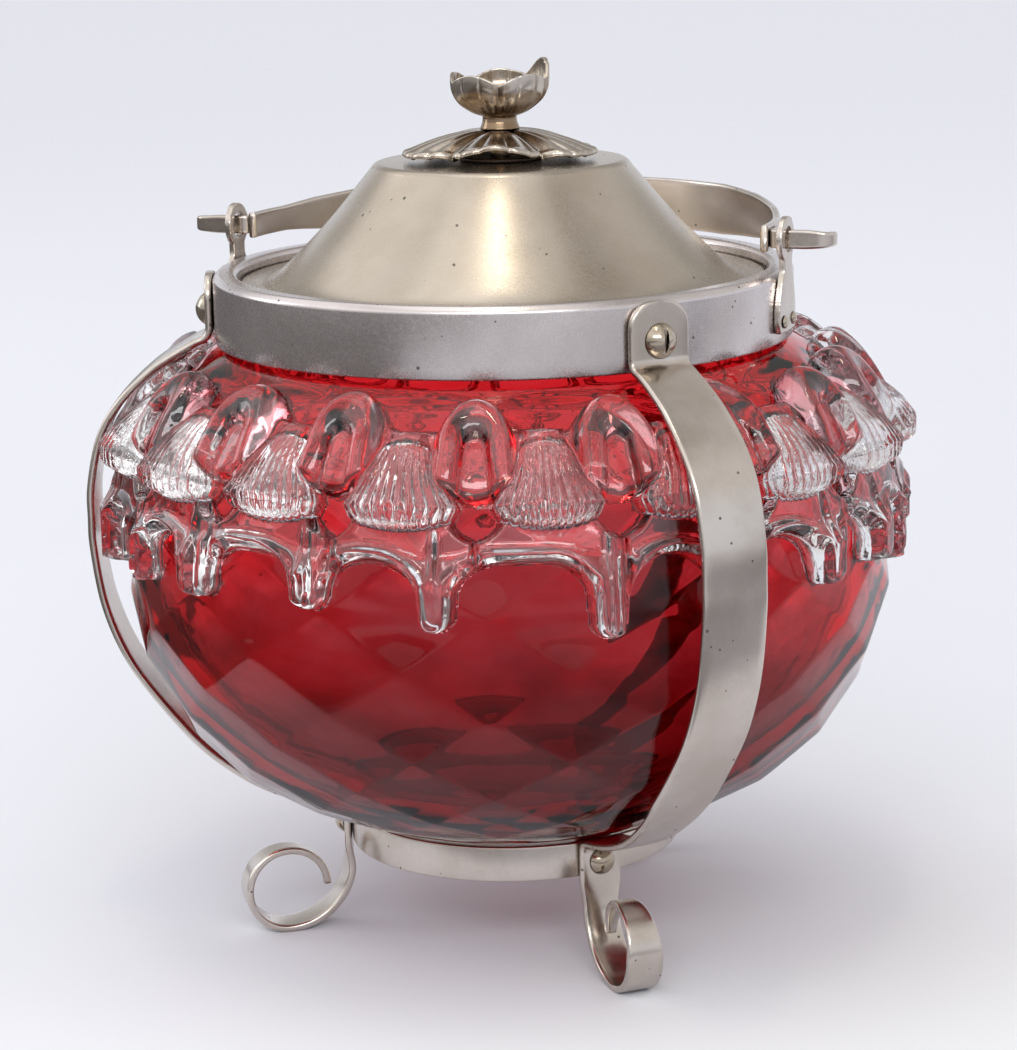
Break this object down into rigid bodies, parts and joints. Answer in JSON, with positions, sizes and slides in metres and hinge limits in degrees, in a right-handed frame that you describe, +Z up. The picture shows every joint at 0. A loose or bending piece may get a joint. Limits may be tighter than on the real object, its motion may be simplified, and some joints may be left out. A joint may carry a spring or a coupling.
{
  "type": "biscuit jar",
  "caption": "Ruby glass biscuit jar with a clear frill, held in a footed metal frame with a lift-off lid and a swinging bail handle.",
  "frame": {"origin": "on the table, on the jar's axis: the middle of the bounding box's underside", "axes": "+Z up; X along the bail's pivots; the bail lies back towards +Y at rest"},
  "size_m": [0.1664, 0.1686, 0.1802],
  "materials": {
    "ruby_glass": "cased ruby glass, diamond-quilted, glossy",
    "clear_glass": "clear hot-worked glass, glossy",
    "silver_plate": "aged silver plate, satin with fine pitting",
    "bright_plate": "polished plate, darkened in its hollows",
    "nut_brass": "plain turned brass, tarnished"
  },
  "bodies": {
    "jar": {"glass_jar": "ruby_glass", "glass_frill": "clear_glass", "collar": "silver_plate", "base_ring": "silver_plate", "strap_leg_1": "silver_plate", "strap_leg_2": "silver_plate", "strap_leg_3": "silver_plate", "collar_screw_1": "bright_plate", "collar_screw_2": "bright_plate", "collar_screw_3": "bright_plate", "collar_nut_1": "nut_brass", "collar_nut_2": "nut_brass", "collar_nut_3": "nut_brass", "foot_bolt_1": "bright_plate", "foot_bolt_2": "bright_plate", "foot_bolt_3": "bright_plate", "foot_nut_1": "nut_brass", "foot_nut_2": "nut_brass", "foot_nut_3": "nut_brass", "ear_left": "silver_plate", "ear_right": "silver_plate", "ear_rivets_left": "bright_plate", "ear_rivets_right": "bright_plate"},
    "bail": {"bail_band": "silver_plate", "bail_hook_left": "silver_plate", "bail_hook_right": "silver_plate"},
    "lid": {"lid_shell": "silver_plate", "lid_bezel": "silver_plate", "finial_seat": "silver_plate", "finial_rosette": "bright_plate", "finial_flower": "bright_plate", "finial_nut": "nut_brass"}
  },
  "joints": [
    {"name": "bail_swing", "type": "hinge", "parent": "jar", "child": "bail", "pos_m": [0, 0, 0.1454], "axis": [1, 0, 0], "range_deg": [0, 180]},
    {"name": "lid_lift", "type": "slide", "parent": "jar", "child": "lid", "axis": [0, 0, 1], "range_m": [0, 0.06]}
  ]
}
